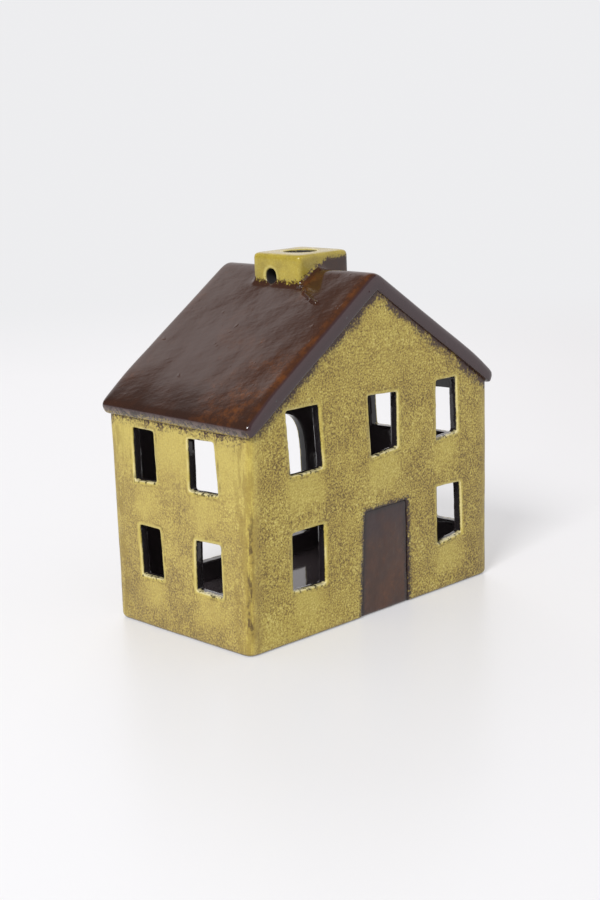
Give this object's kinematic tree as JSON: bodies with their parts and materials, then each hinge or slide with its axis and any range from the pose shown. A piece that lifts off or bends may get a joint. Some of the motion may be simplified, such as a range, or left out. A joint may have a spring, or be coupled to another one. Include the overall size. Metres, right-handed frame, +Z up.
{
  "type": "tealight house",
  "caption": "Glazed ceramic house with cut-out windows, brown gabled roof and open chimney; a tealight slides in over the lip of the back arch.",
  "frame": {"origin": "on the table, under the middle of the ridge", "axes": "+X along the gabled front to the right, +Y from the front to the back, +Z up"},
  "size_m": [0.1344, 0.0818, 0.1357],
  "materials": {
    "mustard_glaze": "glossy mustard glaze, speckled brown, breaking lighter on edges",
    "brown_glaze": "glossy dark brown glaze with a purple-grey cast",
    "dark_glaze": "glossy black-brown inner glaze",
    "cup_aluminium": "bright drawn foil",
    "wax": "smooth white wax",
    "wick_cotton": "waxed braided cotton",
    "tin": "tinned sheet"
  },
  "bodies": {
    "house": {"floor_slab": "dark_glaze", "front_gable_wall": "mustard_glaze", "back_gable_wall": "mustard_glaze", "left_wall": "mustard_glaze", "right_wall": "mustard_glaze", "left_roof_slab": "brown_glaze", "right_roof_slab": "brown_glaze", "chimney": "mustard_glaze", "door_panel": "brown_glaze"},
    "tealight": {"tealight_cup": "cup_aluminium"},
    "candle": {"tealight_wax": "wax", "wick": "wick_cotton", "wick_sustainer": "tin"}
  },
  "joints": [
    {"name": "tealight_out", "type": "slide", "parent": "house", "child": "tealight", "axis": [-0.257, 0.9177, 0.3029], "range_m": [0, 0.081]},
    {"name": "candle_lift", "type": "slide", "parent": "tealight", "child": "candle", "axis": [0, 0, 1], "range_m": [0, 0.018]}
  ]
}
